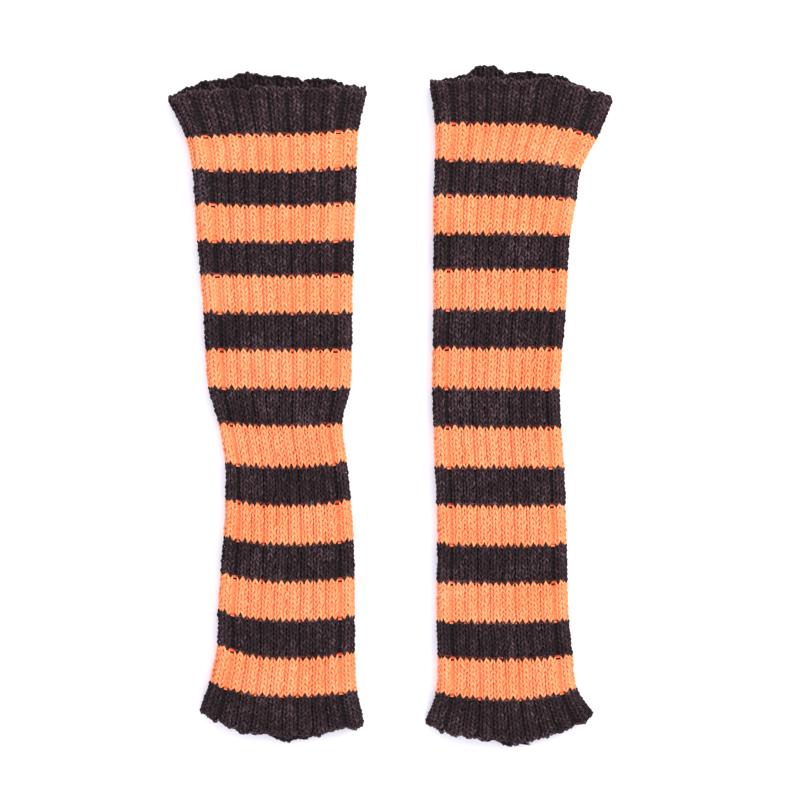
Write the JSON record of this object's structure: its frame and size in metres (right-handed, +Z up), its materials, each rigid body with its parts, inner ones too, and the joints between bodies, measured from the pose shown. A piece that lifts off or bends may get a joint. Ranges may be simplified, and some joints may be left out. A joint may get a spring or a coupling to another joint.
{
  "type": "pair of ribbed knit arm warmers",
  "caption": "Pair of long ribbed knit arm warmers without fingers or thumb holes, striped orange and black, with flared cuffs, lying flat side by side.",
  "frame": {"origin": "centre of the underside of the pair, both sleeves lying flat", "axes": "+Z up from the surface the pair lies on; +Y towards the arm openings and -Y towards the hand openings; +X from the left sleeve to the right sleeve"},
  "size_m": [0.231, 0.349, 0.0134],
  "materials": {
    "orange_yarn": "bright orange acrylic yarn in a two-by-two rib, matt with a little fuzz",
    "black_yarn": "soft black acrylic yarn in a two-by-two rib, matt with a little grey fuzz"
  },
  "bodies": {
    "left_upper": {"left_orange_stripe_1": "orange_yarn", "left_black_stripe_1": "black_yarn", "left_orange_stripe_2": "orange_yarn", "left_black_stripe_2": "black_yarn", "left_orange_stripe_3": "orange_yarn", "left_black_stripe_3": "black_yarn", "left_orange_stripe_4": "orange_yarn", "left_black_stripe_4": "black_yarn", "left_upper_seam": "black_yarn"},
    "left_arm_cuff": {"left_arm_cuff": "black_yarn", "left_bind_off_edge": "black_yarn", "left_arm_cuff_seam": "black_yarn"},
    "left_lower": {"left_orange_stripe_5": "orange_yarn", "left_black_stripe_5": "black_yarn", "left_orange_stripe_6": "orange_yarn", "left_black_stripe_6": "black_yarn", "left_orange_stripe_7": "orange_yarn", "left_black_stripe_7": "black_yarn", "left_orange_stripe_8": "orange_yarn", "left_lower_seam": "black_yarn"},
    "left_hand_cuff": {"left_hand_cuff": "black_yarn", "left_cast_on_edge": "black_yarn", "left_hand_cuff_seam": "black_yarn"},
    "right_upper": {"right_orange_stripe_1": "orange_yarn", "right_black_stripe_1": "black_yarn", "right_orange_stripe_2": "orange_yarn", "right_black_stripe_2": "black_yarn", "right_orange_stripe_3": "orange_yarn", "right_black_stripe_3": "black_yarn", "right_orange_stripe_4": "orange_yarn", "right_black_stripe_4": "black_yarn", "right_upper_seam": "black_yarn"},
    "right_arm_cuff": {"right_arm_cuff": "black_yarn", "right_bind_off_edge": "black_yarn", "right_arm_cuff_seam": "black_yarn"},
    "right_lower": {"right_orange_stripe_5": "orange_yarn", "right_black_stripe_5": "black_yarn", "right_orange_stripe_6": "orange_yarn", "right_black_stripe_6": "black_yarn", "right_orange_stripe_7": "orange_yarn", "right_black_stripe_7": "black_yarn", "right_orange_stripe_8": "orange_yarn", "right_lower_seam": "black_yarn"},
    "right_hand_cuff": {"right_hand_cuff": "black_yarn", "right_cast_on_edge": "black_yarn", "right_hand_cuff_seam": "black_yarn", "right_yarn_end": "black_yarn"}
  },
  "joints": [
    {"name": "pair_spacing", "type": "slide", "parent": "left_upper", "child": "right_upper", "axis": [1, 0, 0], "range_m": [-0.025, 0.12]},
    {"name": "left_arm_cuff_fold", "type": "hinge", "parent": "left_upper", "child": "left_arm_cuff", "pos_m": [-0.0612, 0.14465, 0.0139], "axis": [1, 0, 0], "range_deg": [0, 178]},
    {"name": "left_mid_fold", "type": "hinge", "parent": "left_upper", "child": "left_lower", "pos_m": [-0.0564, -0.00585, 0.0139], "axis": [-1, 0, 0], "range_deg": [0, 165]},
    {"name": "left_hand_cuff_fold", "type": "hinge", "parent": "left_lower", "child": "left_hand_cuff", "pos_m": [-0.0544, -0.14655, 0.0139], "axis": [-1, 0, 0], "range_deg": [0, 178]},
    {"name": "right_arm_cuff_fold", "type": "hinge", "parent": "right_upper", "child": "right_arm_cuff", "pos_m": [0.0668, 0.15065, 0.0139], "axis": [1, 0, 0], "range_deg": [0, 178]},
    {"name": "right_mid_fold", "type": "hinge", "parent": "right_upper", "child": "right_lower", "pos_m": [0.0564, -0.00675, 0.0139], "axis": [-1, 0, 0], "range_deg": [0, 165]},
    {"name": "right_hand_cuff_fold", "type": "hinge", "parent": "right_lower", "child": "right_hand_cuff", "pos_m": [0.0613, -0.14815, 0.0139], "axis": [-1, 0, 0], "range_deg": [0, 178]}
  ]
}
